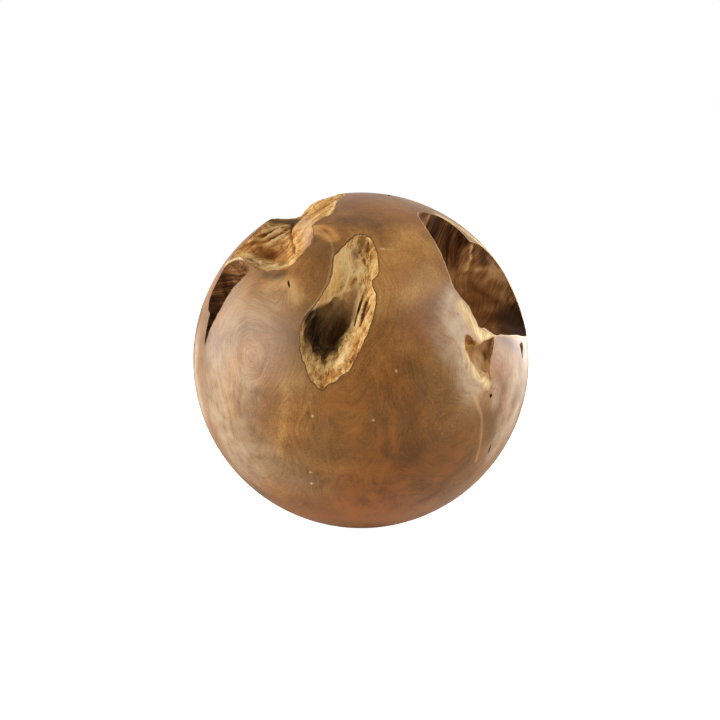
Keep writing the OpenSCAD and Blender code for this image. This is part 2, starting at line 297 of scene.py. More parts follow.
             mark([(41.5, 13, 4), (44.5, 12.8, 6), (47.5, 12.5, 5)], 2, tone=-0.3, stain=0.3),
             mark([(41.5, 13, 5), (42.5, 10, 10)], 1.5, high=-1, stain=0.6),
             mark([(43, 12.5, 5), (44.5, 8.5, 13), (45.5, 6, 11)], 1.5, high=1, tone=0.5),
             mark([(46.5, 11.5, 6), (47.5, 8, 9), (47, 5.5, 7)], 1.5, high=-1, stain=0.6),
             mark([(45.4, 4.5, 10.5), (46, 2, 5)], 4, tone=0.35, bare=0.3),
             mark([(49.5, 12, 3), (48, 8, 4), (46.5, 5, 0.5)], 2.4, tone=-0.3, stain=0.4),
             mark([(42, 11, 10), (43.5, 8, 14), (44.5, 4, 11)], 1.2, tone=-0.35),
             mark([(45.5, 10, 11), (46.5, 6.5, 9)], 1.2, tone=0.35),
             mark([(36.5, 10, 0.5), (37.5, 7.5, 2), (40, 5, 3), (42.5, 3.5, 2)], 4, tone=0.5, bare=0.6),
             mark([(44, 9, 17), (44.5, 4.5, 12.5), (46, 2.5, 8.5)], 6, pale=0.3),
             mark([(44, 10, 12), (44.8, 6.5, 11)], 1.2, stain=0.6),
             mark([(43.5, 3.5, 4), (44.5, 1.5, 1.5)], 0.9, high=-0.8, stain=0.5),
             mark([(46, 5.5, 9), (46, 3, 3)], 3, tone=0.2, warm=0.2),
         ]},
        {"name": "chip", "turn": 69, "rise": 7, "wood": rawWood,
         "fibres": (0.1, 0, 1), "layers": (1, 0.3, 0),
         "ridges": [(3, 10, 0.3)], "steps": (5, 0.3), "ragged": 0.3, "ink": 0.1,
         "marks": [mark([(70.5, 7, 3)], 6, stain=0.8)]},
    ],
    # marks on the sanded face
    "marks": [
        # paler, greyer wood on the left, partly a painted sheen of the left lamp, and a painted reflection
        # along the left edge
        # painted sheen of the left lamp over paler, greyer wood, in the next two marks
        mark([(-52, 6), (-53, -8), (-50, -24)], 40, tone=-0.04, pale=0.36),
        mark([(-58, -12), (-52, -36)], 22, pale=0.36),
        mark([(-34, -28), (-22, -42)], 20, tone=0.05, pale=0.15),
        mark([(-24, -1), (-21, 2)], 9, tone=0.15, bare=0.08),
        mark([(-36, 31.5), (-27, 32), (-24, 27)], 6, tone=0.25, bare=0.18),
        # more painted sheen
        mark([(-40, -2)], 13, pale=0.3),
        # painted reflection of the white surroundings along the left edge
        mark([(-76, 8), (-74, -14)], 10, pale=0.85),
        mark([(-56, 30), (-46, 22), (-34, 24)], 20, tone=-0.1, bare=0.19),
        # the worn strip under the upper hollow
        mark([(-78, 36), (-73, 38.5), (-67, 40), (-57, 39.5)], 2.8, bare=0.8, edge=4),
        # paler wood beside the hollows on the right, partly a painted highlight of the right lamps, and a
        # painted reflection along the right edge
        # painted highlight of the right lamp over paler wood, in the next two marks
        mark([(36, 26), (36, 14), (36, 4), (39, -3)], 13, pale=0.55),
        mark([(31, 18), (33, 8)], 10, tone=0.12),
        mark([(60, 3), (65, -4)], 8, tone=-0.15, pale=0.3, bare=0.1),
        mark([(52, 9), (56, 6)], 7, tone=-0.15, bare=0.15),
        # painted reflection toward the right edge, in the next two marks
        mark([(60, -4), (58, -14), (58, -28)], 11, pale=0.5),
        mark([(74, 4), (70, -10), (66, -20)], 10, pale=0.7),
        # more painted highlight, in the next two marks
        mark([(31, 22), (34, 12), (37, -2)], 9, tone=0.1, pale=0.4),
        mark([(35, 22), (39, 9)], 6, pale=0.5),
        # lighter and warmer wood above, with painted shade along the top edge, darker and warmer below
        mark([(19, 27), (24, 32), (28, 36)], 12, tone=0.25),
        mark([(6, 46), (20, 50), (8, 38)], 23, tone=0.25, warm=0.15),
        mark([(-10, 74), (20, 68), (38, 60)], 15, tone=-0.05, warm=0.35),
        # painted shade along the top edge, which gets no light
        mark([(-30, 82), (60, 82)], 16, warm=0.5, stain=0.3),
        mark([(-8, 6), (4, 12), (14, -4), (18, -18)], 24, tone=-0.1),
        mark([(10, -44), (20, -24), (30, -36), (36, -24)], 20, tone=-0.26, warm=0.35),
        mark([(12, 2), (17, -6), (20, -12)], 13, tone=0.03, warm=0.22),
        mark([(18, 22), (22, 12)], 11, warm=0.18),
        # plain wood between the knots
        mark([(-52, 30), (-40, 20), (-28, 28)], 16, calm=1),
        mark([(26, 36), (24, 22), (28, 8)], 13, calm=0.9),
        mark([(-2, 62), (25, 55)], 20, calm=0.6),
        # redder wood at the foot
        mark([(-4, -8), (5, -28), (0, -48)], 26, tone=-0.05, warm=0.35),
        # light grain lines and warm streaks
        mark([(38, -4), (43.5, -12), (46.5, -21), (49, -30)], 1.3, tone=0.25, warm=0.2, pale=0.2),
        mark([(10, -8), (10.5, -16), (11, -22)], 3, tone=0.05, warm=0.4),
        mark([(6, -14), (6.5, -24)], 2.5, tone=-0.08, warm=0.4),
        mark([(-26, 55), (-20, 54), (-15, 51)], 6, tone=0.75, warm=0.7, edge=3),
        mark([(-24, -2), (-25.5, -12), (-30, -24)], 4.5, tone=0.14),
        mark([(-33, 57.5), (-22, 54), (-15.5, 50), (-12.5, 45), (-12, 39), (-12.7, 32.5), (-16, 26),
              (-19, 22)], 0.9, bare=0.2),
        # dark wood round the knots
        mark([(-22, 49), (-19, 42), (-20, 34), (-22, 24)], 12, stain=0.22),
        mark([(-54, 37), (-50, 34.5)], 4, warm=0.2, stain=0.45),
        mark([(-41, 35), (-36, 34), (-32, 35.5)], 3.6, stain=0.75, edge=3),
        mark([(-27, 46), (-24, 49)], 4, stain=0.3),
        mark([(-21, 54.5), (-16.5, 52.5)], 0.9, stain=0.4),
        # warm wood at the very bottom, and more dark wood
        mark([(-20, -62), (0, -58), (15, -62)], 40, tone=0.12, warm=0.75),
        mark([(-12.5, 60), (-1, 61), (8, 58), (11, 48)], 6, stain=0.4),
        mark([(17, -4), (16.5, -13), (18, -24)], 7, stain=0.35),
        mark([(7.5, -11), (9, -23.5)], 3, tone=-0.12),
        mark([(46, -12), (49, -16), (52, -20)], 7, stain=0.3),
        mark([(13, 20), (17, 23.5), (24, 25.5)], 5, stain=0.2),
        mark([(29.5, -47), (36, -42.5)], 3.5, stain=0.45),
        mark([(-32, -12.5), (-29.5, -9)], 7, stain=0.25),
        mark([(-34, -27)], 8, stain=0.18),
        mark([(19.5, -25)], 3, stain=0.35),
        mark([(25.5, 40), (27, 35)], 5, stain=0.2),
        mark([(-30, -46), (-19, -51)], 14, stain=0.1),
        # wood worn bare beside the hollows on the right, with more painted highlight on the paler wood there
        # painted highlight over paler wood
        mark([(33, 26), (32.5, 16.5)], 9, pale=0.6),
        mark([(37, 24.5), (39.5, 20), (42, 15.5), (47, 13)], 4.8, bare=0.8, edge=5),
        mark([(41, 16), (44, 12.5), (49, 13)], 4, bare=0.9, edge=4),
        mark([(35.5, 22), (38.5, 17.5), (39.5, 14)], 1.1, bare=0.3),
        mark([(36, 11.5), (36.5, 7.5), (39.5, 2), (45, -2)], 3.8, bare=0.85, edge=4),
        # painted highlight over paler wood, in the next two marks
        mark([(26, 15), (28.5, 9)], 8, tone=0.08, pale=0.4),
        mark([(49, -3), (50, -9)], 6, pale=0.45),
        mark([(38.8, 5.5), (40, 3), (41.3, 0.7)], 1, stain=0.8),
        mark([(54, 11), (63, 8.5), (71, 7)], 6.5, warm=0.5, stain=0.7, edge=2.5),
        mark([(51.5, 13.5), (68, 10.5), (74, 9)], 1.6, bare=0.3, edge=4),
        mark([(69, 61), (74, 54), (78, 48), (82, 43), (86, 36), (86, 30), (84, 16)], 5, bare=0.75, edge=3),
        # specks, a scratch and worm holes filled with dirt
        mark([(-15.5, -10)], 0.9, bare=1),
        mark([(-19, -31)], 0.9, bare=1),
        mark([(-20, -36)], 1.1, bare=1),
        mark([(11, 4.5)], 0.9, bare=0.9),
        mark([(4, -11)], 0.9, bare=0.8),
        mark([(9, 46), (13.5, 45.5)], 0.8, bare=0.5),
        mark([(35, 21.5)], 1.2, stain=0.8),
        mark([(54, -20)], 1.2, stain=0.8),
        mark([(-28, 29)], 1.8, stain=0.5),
        mark([(-52, 26), (-47, 25.5), (-42.5, 24)], 0.9, stain=0.35),
        mark([(-43, 17), (-38, 16), (-33, 15.5)], 0.9, stain=0.35),
        mark([(-38, 17)], 1.6, stain=0.35),
        *[mark(run, 0.8, stain=0.4) for run in (
            [(-17, -9), (-17, -11)], [(-15.5, -12.5), (-15.5, -14.5)], [(-14, -10), (-14, -11.5)],
            [(-20, -28.5), (-20.5, -31.5)], [(-18, -33), (-18, -35)], [(-16.5, -30), (-16.5, -31.5)])],
    ],
}
hollows = ball["hollows"]


def fibreFrame(hollow):
    # across the layers, along the fibres, and across both
    along = Vector(hollow["fibres"]).normalized()
    across = Vector(hollow["layers"])
    across = (across - along * across.dot(along)).normalized()
    return Matrix((across, along, across.cross(along)))


for hollow in hollows:
    hollow["frame"] = fibreFrame(hollow)


def between(a, b, t):
    # a place on the arc from one point to another
    on = a.lerp(b, t)
    return on * ((1 - t) * a.length + t * b.length) / on.length


def nearness(spot, point):
    # 1 on the run of a mark, fading to 0 about two widths away
    if (point - spot["middle"]).length > spot["reach"]:
        return 0
    points = spot["points"]
    stray = noise.noise_vector(point / (ball["strayWave"] * mm)) * spot["wide"] * ball["stray"] * mm
    point = point + stray
    away = (point - points[0]).length
    for a, b in zip(points, points[1:]):
        t = min(max((point - a).dot(b - a) / (b - a).length_squared, 0), 1)
        away = min(away, (point - between(a, b, t)).length)
    return math.exp(-(away / mm / spot["wide"]) ** spot.get("edge", 2))


def paint(vert, marks, layers):
    # the shares of all the marks near a corner; what they raise and how calm they leave it
    high = calm = 0
    for spot in marks:
        near = nearness(spot, vert.co)
        if near < 0.01:
            continue
        high += near * spot.get("high", 0)
        calm = max(calm, near * spot.get("calm", 0))
        vert[layers["tone"]] += near * spot.get("tone", 0)
        for share in shares[1:]:
            left = (1 - vert[layers[share]]) * (1 - near * spot.get(share, 0))
            vert[layers[share]] = 1 - left
    return high, calm


def isOnBall(vert):
    return vert.co.length > ballR - ball["skinDepth"] * mm


def islands(faces):
    # groups of faces that hang together by their edges
    left = set(faces)
    while left:
        stack, group = [left.pop()], []
        while stack:
            face = stack.pop()
            group.append(face)
            for edge in face.edges:
                for other in edge.link_faces:
                    if other in left:
                        left.remove(other)
                        stack.append(other)
        yield group


def nameTheHollows(bm, idLayer):
    # every face gets its wood and the number of its hollow
    for face in bm.faces:
        face.material_index = outside
        face[idLayer] = -1
    walls = [face for face in bm.faces if not all(isOnBall(v) for v in face.verts)]
    for group in islands(walls):
        middle = sum((f.calc_center_median() * f.calc_area() for f in group), Vector()).normalized()
        area = sum(f.calc_area() for f in group) / mm ** 2
        best = max(range(len(hollows)),
                   key=lambda i: frameAt(hollows[i]["turn"], hollows[i]["rise"])[2].dot(middle))
        isSmall = area < ball["crackArea"] and hollows[best]["name"] != "chip"
        isCrack = isSmall or len(group) < ball["crackFaces"]
        for face in group:
            face.material_index = crackWood if isCrack else hollows[best]["wood"]
            face[idLayer] = -1 if isCrack else best


def isRim(edge):
    woods = {face.material_index for face in edge.link_faces}
    return outside in woods and len(woods) > 1


def rimVerts(bm):
    return [v for v in bm.verts if any(isRim(e) for e in v.link_edges)]


def treeOf(points):
    tree = kdtree.KDTree(len(points))
    for i, point in enumerate(points):
        tree.insert(point, i)
    tree.balance()
    return tree


def thinSpots():
    # places along the thin marks of the sanded face, each with the edge length it needs
    for spot in ball["marks"]:
        if spot["wide"] < ball["thinMark"]:
            size = max(ball["thinEdge"], ball["thinShare"] * spot["wide"])
            points = spot["points"]
            yield points[0], size
            for a, b in zip(points, points[1:]):
                steps = math.ceil((b - a).length / (ball["thinStep"] * mm))
                for i in range(steps):
                    yield between(a, b, (i + 1) / steps), size


def isLong(edge, tree, sizes):
    length = edge.calc_length() / mm
    woods = {face.material_index for face in edge.link_faces}
    if crackWood in woods:
        return False
    if rawWood in woods:
        return length > ball["rawEdge"]
    if darkWall in woods:
        return length > ball["darkEdge"]
    if length > ball["skinEdge"]:
        return True
    middle = (edge.verts[0].co + edge.verts[1].co) / 2
    spot, index, away = tree.find(middle)
    return length > sizes[index] + ball["grading"] * away / mm


def refine(bm):
    # long edges are halved, more finely near a rim or a thin mark; fins and flaps that this leaves
    # are taken out, and the skin stays on the ball
    spots = list(thinSpots())
    for done in range(ball["passes"]):
        needs = spots + [(vert.co, ball["rimEdge"]) for vert in rimVerts(bm)]
        tree = treeOf([place for place, size in needs])
        sizes = [size for place, size in needs]
        long = [edge for edge in bm.edges if isLong(edge, tree, sizes)]
        bmesh.ops.subdivide_edges(bm, edges=long, cuts=1)
        bmesh.ops.triangulate(bm, faces=[f for f in bm.faces if len(f.verts) > 3])
        fins = [edge for edge in bm.edges if len(edge.link_faces) > 2]
        bmesh.ops.collapse(bm, edges=fins)
        bmesh.ops.dissolve_degenerate(bm, dist=ball["shortest"] * mm, edges=bm.edges)
        bmesh.ops.delete(bm, geom=[v for v in bm.verts if not v.link_faces], context="VERTS")
        bmesh.ops.triangulate(bm, faces=[f for f in bm.faces if len(f.verts) > 3])
        shared = {face: [len(edge.link_faces) for edge in face.edges] for face in bm.faces}
        flaps = [face for face, counts in shared.items() if min(counts) == 1 and max(counts) > 2]
        bmesh.ops.delete(bm, geom=flaps, context="FACES")
        for vert in bm.verts:
            if any(f.material_index == outside for f in vert.link_faces):
                vert.co = vert.co.normalized() * skinR
        skin = [f for f in bm.faces if f.material_index == outside]
        inner = [e for e in bm.edges if all(f.material_index == outside for f in e.link_faces)]
        bmesh.ops.beautify_fill(bm, faces=skin, edges=inner, method="ANGLE")
        print("refined", done + 1, len(bm.faces), "faces,",
              len([e for e in bm.edges if len(e.link_faces) != 2]), "open or doubled edges")


def fibreRelief(hollow, p):
    # height in mm of the torn fibres and broken layers at a point of the fibre frame
    height = 0
    for i, (wide, long, high) in enumerate(hollow["ridges"]):
        q = Vector((p.x / wide + 7 * i, p.y / long, p.z / wide))      # each size in noise of its own
        height += noiseReach * high * noise.noise(q)
    wide, high = hollow["steps"]
    layer = p.x / wide
    for wave, sway in ball["layerWaves"]:
        layer += sway * noise.noise(p / wave)
    rest = layer - math.floor(layer)
    # each layer rises slowly and breaks off in its last quarter
    return height + high * (rest - smoothStep(0.75, 1, rest) - 0.4)


def roughenRims(bm, idLayer):
    # the rims wander along the ball, as an edge breaks between fibres, and pull the wood beside them
    rims = rimVerts(bm)
    tree = treeOf([vert.co for vert in rims])
    pushes = []
    for vert in rims:
        ends = [e.other_vert(vert).co for e in vert.link_edges if isRim(e)]
        ids = [f[idLayer] for f in vert.link_faces if f[idLayer] >= 0]
        if len(ends) != 2 or not ids:
            pushes.append(Vector())
            continue
        aside = (ends[1] - ends[0]).cross(vert.co).normalized()
        middle = frameAt(hollows[ids[0]]["turn"], hollows[ids[0]]["rise"])[2]
        if aside.dot(vert.co - middle * ballR) < 0:
            aside.negate()
        wander = sum(high * noise.noise(vert.co / mm / wave) for wave, high in ball["rimWaves"])
        pushes.append(aside * wander * hollows[ids[0]]["ragged"] * noiseReach * mm)
    reach = ball["rimReach"] * mm
    for vert in bm.verts:
        near = [hit for hit in tree.find_n(vert.co, 4) if hit[2] < reach]
        if not near:
            continue
        parts = [1 / (hit[2] + 0.4 * mm) for hit in near]      # the nearest count for most
        push = sum((pushes[hit[1]] * part for hit, part in zip(near, parts)), Vector()) / sum(parts)
        moved = vert.co + push * (1 - near[0][2] / reach) ** 2
        if any(f.material_index == outside for f in vert.link_faces):
            moved = moved.normalized() * skinR
        vert.co = moved


def carveBall():
    bm = bmesh.new()
    bm.from_mesh(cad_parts[ball["node"]].data)
    bmesh.ops.remove_doubles(bm, verts=bm.verts, dist=ball["weld"] * mm)
    idLayer = bm.faces.layers.int.new("hollow")
    layers = {name: bm.verts.layers.float.new(name) for name in ("relief", "calm", "rim", "ink", *shares)}
    grainLayer = bm.verts.layers.float_vector.new("grain")
    nameTheHollows(bm, idLayer)
    refine(bm)
    roughenRims(bm, idLayer)
    inner = [v for v in bm.verts if all(f.material_index in (rawWood, darkWall) for f in v.link_faces)]
    for done in range(ball["easing"]):
        bmesh.ops.smooth_vert(bm, verts=inner, factor=0.5,
                              use_axis_x=True, use_axis_y=True, use_axis_z=True)
    bm.normal_update()
    rims = rimVerts(bm)
    tree = treeOf([vert.co for vert in rims])
    moves = []
    for vert in bm.verts:
        spot, index, away = tree.find(vert.co)
        vert[layers["rim"]] = away / mm
        if away < ball["inkReach"] * mm:
            near = [f[idLayer] for f in rims[index].link_faces if f[idLayer] >= 0]
            vert[layers["ink"]] = hollows[near[0]]["ink"] if near else 0
        ids = [f[idLayer] for f in vert.link_faces if f[idLayer] >= 0]
        if not ids:
            vert[layers["calm"]] = paint(vert, ball["marks"], layers)[1]
            continue
        hollow = hollows[ids[0]]
        p = hollow["frame"] @ vert.co / mm
        p.x += hollow.get("bend", ball["bend"]) * noise.noise(p / ball["bendWave"])
        vert[grainLayer] = p
        for share, value in hollow.get("all", {}).items():
            vert[layers[share]] = value
        high, calm = paint(vert, hollow["marks"], layers)
        height = fibreRelief(hollow, p) * (1 - calm) + high
        vert[layers["relief"]] = height
        vert[layers["calm"]] = calm
        fade = smoothStep(0, ball["reliefFade"], away / mm)
        moves.append((vert, vert.normal * height * fade * mm))
    for vert, move in moves:
        vert.co += move
    for face in bm.faces:
        face.smooth = True
    for edge in bm.edges:
        edge.smooth = not isRim(edge)
    bm.normal_update()
    mesh = bpy.data.meshes.new("teakRootBall")
    bm.to_mesh(mesh)
    bm.free()
    print("ball carved", len(mesh.polygons))
    return mesh


def addNode(tree, kind, inputs=None, stops=None, **settings):
    # a node with its settings and the colours of a ramp; an input takes a value, a socket, or a node
    # whose first output is meant
    node = tree.nodes.new(kind if kind == "NodeGroupOutput" else "ShaderNode" + kind)
    for name, value in settings.items():
        setattr(node, name, value)
    for name, value in (inputs or {}).items():
        if isinstance(value, bpy.types.Node):
            value = value.outputs[0]
        if isinstance(value, bpy.types.NodeSocket):
            tree.links.new(value, node.inputs[name])
        else:
            node.inputs[name].default_value = value
    for i, (place, colour) in enumerate(stops or []):
        points = node.color_ramp.elements
        point = points[i] if i < len(points) else points.new(place)
        point.position = place
        point.color = hexToLinear(colour)
    return node


def newMaterial(name):
    material = bpy.data.materials.new(name)
    material.use_nodes = True
    tree = material.node_tree
    tree.nodes.clear()
    return material, tree


def perMm(size):
    # scale of a noise whose features are this many millimetres wide, on coordinates in metres
    return 1000 / size


# Where knots and roots left rings in the figure: turn, rise, roll, then how far the rings
# are stretched across, along and into the ball, and how many millimetres they start late
figure = {
    "knots": [
        (-37, 8, 10, 1.0, 1.1, 3.0, 0),
        (-40, -9, 8, 0.9, 1.9, 3.0, 6),
        (-18, 36, 14, 0.45, 1.5, 3.0, -4),
        (-2, 24, 12, 0.7, 1.5, 3.0, -16),
        (25, 6, 0, 0.9, 1.3, 2.5, 6),
        (29, -15, -8, 1.3, 1.0, 2.5, 2),
        (8, -19, 2, 0.35, 3.2, 2.5, 5),
        (-18, -18, -3, 0.35, 3.2, 2.5, 8),
        (-4, -44, 0, 0.6, 1.6, 2.5, 14),
        (49, -15, 6, 0.5, 1.8, 2.0, 4),
        (38, 46, -20, 0.8, 1.3, 2.5, 12),
        (-66, -4, 0, 0.6, 2.2, 2.5, 10),
        (72, -8, 0, 0.5, 2.2, 2.5, 6),
        (120, 30, 20, 0.9, 1.2, 2.5, 0),
        (150, -12, -10, 0.8, 1.3, 2.5, 3),
        (-110, -18, 10, 0.9, 1.3, 2.5, 0),
        (-150, 22, -15, 1.1, 0.9, 2.5, 4),
        (180, 55, 0, 0.8, 1.1, 2.5, 8),
        (-165, -45, 30, 1.0, 1.0, 2.5, 5),
        (105, -50, 0, 1.0, 1.0, 2.5, 8),
    ],
    "merging": 16,           # millimetres over which the rings of two knots flow together
    "sways": [(70, 16), (22, 3), (7, 0.5)],    # width and reach of the wander of the rings
    # each pattern of the figure: its size in mm across the rings and along them, and its detail;
    # fibres and pores are drawn four times as coarse as they are, to show
    "patterns": {"Broad": (16, 60, 4), "Fine": (4.5, 40, 4), "Fibre": (1.3, 26, 3), "Pore": (0.9, 4, 2)},
    "patches": 38,           # size of the patches in which the fine rings show or fade
    "cloud": 42,             # size of the darker and lighter clouds
    "tint": 80,              # size of the redder and greyer regions
}


def figureGroup():
    # teak root figure: growth rings that flow round the knots, as values about 0.5
    tree = bpy.data.node_groups.new("teak root figure", "ShaderNodeTree")
    for name in (*figure["patterns"], "Cloud", "Tint"):
        tree.interface.new_socket(name=name, in_out="OUTPUT", socket_type="NodeSocketFloat")
    place = addNode(tree, "TexCoord").outputs["Object"]
    swayed = place
    for width, far in figure["sways"]:
        push = addNode(tree, "TexNoise", {"Vector": place, "Scale": perMm(width), "Detail": 1})
        push = addNode(tree, "VectorMath", {0: push.outputs["Color"], 1: (0.5,) * 3}, operation="SUBTRACT")
        swayed = addNode(tree, "VectorMath", {0: push, 1: (2 * far * mm,) * 3, 2: swayed},
                         operation="MULTIPLY_ADD")
    growth = None
    for turn, rise, roll, across, along, into, late in figure["knots"]:
        axes = frameAt(turn, rise, roll)
        local = addNode(tree, "Mapping",
                        {"Vector": swayed, "Location": axes[2] * ballR,
                         "Rotation": axes.transposed().to_euler(),
                         "Scale": (across, along, into)}, vector_type="TEXTURE")
        reach = addNode(tree, "VectorMath", {0: local}, operation="LENGTH")
        reach = addNode(tree, "Math", {0: reach.outputs["Value"], 1: 1000, 2: late},
                        operation="MULTIPLY_ADD")      # in millimetres, late rings further out
        if growth:
            reach = addNode(tree, "Math", {0: growth, 1: reach, 2: figure["merging"]},
                            operation="SMOOTH_MIN")
        growth = reach
    spread = addNode(tree, "SeparateXYZ", {0: swayed})
    results = {}
    for name, (across, along, detail) in figure["patterns"].items():
        # close together across the rings and long along them
        parts = [addNode(tree, "Math", {0: value, 1: scale}, operation="MULTIPLY")
                 for value, scale in ((growth, 1 / across), (spread.outputs["Z"], perMm(along)),
                                      (spread.outputs["X"], perMm(0.7 * along)))]
        weave = addNode(tree, "CombineXYZ", {0: parts[0], 1: parts[1], 2: parts[2]})
        results[name] = addNode(tree, "TexNoise", {"Vector": weave, "Scale": 1, "Detail": detail,
                                                   "Roughness": 0.68})
    patch = addNode(tree, "TexNoise", {"Vector": place, "Scale": perMm(figure["patches"]), "Detail": 2})
    shown = addNode(tree, "MapRange", {0: patch, 1: 0.38, 2: 0.62, 3: 0.1})
    results["Pore"] = addNode(tree, "MapRange", {0: results["Pore"], 1: 0.62, 2: 0.72})
    results["Pore"] = addNode(tree, "Math", {0: results["Pore"], 1: shown}, operation="MULTIPLY")
    for name in ("Broad", "Fine"):
        centred = addNode(tree, "Math", {0: results[name], 1: 0.5}, operation="SUBTRACT")
        results[name] = addNode(tree, "Math", {0: centred, 1: shown, 2: 0.5}, operation="MULTIPLY_ADD")
    results["Cloud"] = addNode(tree, "TexNoise",
                               {"Vector": swayed, "Scale": perMm(figure["cloud"]), "Detail": 4,
                                "Roughness": 0.55})
    results["Tint"] = addNode(tree, "TexNoise",
                              {"Vector": place, "Scale": perMm(figure["tint"]), "Detail": 3})
    addNode(tree, "NodeGroupOutput", results)
    return tree


def toneOf(tree, patterns, carved=()):
    # patterns vary about 0.5 and carved values about 0; each counts by its share
    total = 0.5 - 0.5 * sum(share for value, share in patterns)
    for value, share in (*patterns, *carved):
        total = addNode(tree, "Math", {0: value, 1: share, 2: total}, operation="MULTIPLY_ADD")
    return total


def fibreStreaks(tree, wide, long):
    # noise stretched along the fibres of a hollow, with its width and length in millimetres
    grain = addNode(tree, "Attribute", attribute_name="grain").outputs["Vector"]
    squeezed = addNode(tree, "VectorMath",
                       {0: grain, 1: (1 / wide, 1 / long, 1 / (3 * wide))}, operation="MULTIPLY")
    return addNode(tree, "TexNoise", {"Vector": squeezed, "Scale": 1, "Detail": 3, "Roughness": 0.6})


def calmed(tree, streak):
    # a pattern about 0.5 that loses up to 0.7 of its contrast where the wood is marked as calm
    calm = addNode(tree, "Attribute", attribute_name="calm").outputs["Fac"]
    left = addNode(tree, "Math", {0: calm, 1: -0.7, 2: 1}, operation="MULTIPLY_ADD")
    centred = addNode(tree, "Math", {0: streak, 1: 0.5}, operation="SUBTRACT")
    return addNode(tree, "Math", {0: centred, 1: left, 2: 0.5}, operation="MULTIPLY_ADD")


def stained(tree, colour, streak, spread, coats):
    # the painted shares over a colour, broken up by the streaks of the wood
    uneven = addNode(tree, "MapRange", {0: streak, 1: 0.35, 2: 0.65, 3: 1 - spread, 4: 1 + spread})
    for name, coat in coats.items():
        share = addNode(tree, "Attribute", attribute_name=name).outputs["Fac"]
        share = addNode(tree, "Math", {0: share, 1: uneven}, operation="MULTIPLY", use_clamp=True)
        colour = addNode(tree, "Mix", {0: share, 6: colour, 7: hexToLinear(coat)},
                         data_type="RGBA").outputs[2]
    return colour


def rimLine(tree, colour, dark, light, wide):
    # a thin line along a rim, dark, or pale as a worn edge with a painted highlight on it, wider here and
    # there
    place = addNode(tree, "TexCoord").outputs["Object"]
    uneven = addNode(tree, "TexNoise", {"Vector": place, "Scale": perMm(9), "Detail": 2})
    away = addNode(tree, "Attribute", attribute_name="rim").outputs["Fac"]
    away = addNode(tree, "Math", {0: away, 1: uneven}, operation="DIVIDE")
    line = addNode(tree, "MapRange", {0: away, 1: wide, 2: 3.2 * wide, 3: 1, 4: 0})
    ink = addNode(tree, "Attribute", attribute_name="ink").outputs["Fac"]
    for coat, sign in ((dark, 1), (light, -1)):
        share = addNode(tree, "Math", {0: ink, 1: sign}, operation="MULTIPLY", use_clamp=True)
        share = addNode(tree, "Math", {0: share, 1: line}, operation="MULTIPLY")
        colour = addNode(tree, "Mix", {0: share, 6: colour, 7: hexToLinear(coat)},
                         data_type="RGBA").outputs[2]
    return colour


def sandedTeak(group):
    # teak root sanded smooth and lacquered satin: warm figure under a broad soft sheen, partly painted into
    # the colour as paler wood
    material, tree = newMaterial("satin lacquered teak root")
    wood = addNode(tree, "Group", node_tree=group).outputs
    painted = addNode(tree, "Attribute", attribute_name="tone").outputs["Fac"]
    place = addNode(tree, "TexCoord").outputs["Object"]
    # clusters of pores, 1.5 mm apart, and cloudy lacquer
    speckle = addNode(tree, "TexNoise", {"Vector": place, "Scale": perMm(1.5), "Detail": 2})
    smudge = addNode(tree, "TexNoise", {"Vector": place, "Scale": perMm(14), "Detail": 4, "Roughness": 0.65})
    broad, fine, fibre = [calmed(tree, wood[name]) for name in ("Broad", "Fine", "Fibre")]
    tone = toneOf(tree, [(broad, 0.4), (fine, 0.32), (fibre, 0.42), (wood["Cloud"], 0.75),
                         (smudge, 0.2), (speckle, 0.38)], [(painted, 1), (wood["Pore"], -0.35)])
    colour = addNode(tree, "ValToRGB", {0: tone},
                     [(0.05, "#351f0b"), (0.28, "#583715"), (0.42, "#70481e"), (0.54, "#825628"),
                      (0.72, "#9f7239"), (0.95, "#c1985a")])
    tints = [("#8f5018", 0.5, 0.7), ("#795f33", 0.5, 0.3)]     # redder here, greyer there
    for tint, start, end in tints:
        share = addNode(tree, "MapRange", {0: wood["Tint"], 1: start, 2: end, 4: 0.3})
        colour = addNode(tree, "Mix", {0: share, 6: colour, 7: hexToLinear(tint)},
                         data_type="RGBA").outputs[2]
    worn = addNode(tree, "ValToRGB", {0: wood["Fibre"]},
                   [(0.3, "#b08b5a"), (0.5, "#d3b480"), (0.7, "#e8d6ae")])
    blotches = toneOf(tree, [(wood["Fibre"], 0.4), (smudge, 0.9)])
    # pale is paler, greyer wood, and on the sides and edges a painted sheen, highlight and reflection of the
    # lamps and the white surroundings
    colour = stained(tree, colour, blotches, 0.5, {"pale": "#b0997d", "warm": "#a05c1c", "stain": "#3f280f"})
    bare = addNode(tree, "Attribute", attribute_name="bare").outputs["Fac"]
    colour = addNode(tree, "Mix", {0: bare, 6: colour, 7: worn}, data_type="RGBA").outputs[2]
    colour = rimLine(tree, colour, "#3a2a1a", "#d3b184", 0.7)
    rough = addNode(tree, "MapRange", {0: bare, 1: 0.2, 2: 0.7, 3: 0.4, 4: 0.9})
    shader = addNode(tree, "BsdfPrincipled",
                     {"Base Color": colour, "Roughness": rough, "IOR": 1.5, "Specular IOR Level": 0.21})
    addNode(tree, "OutputMaterial", {"Surface": shader})
    return material


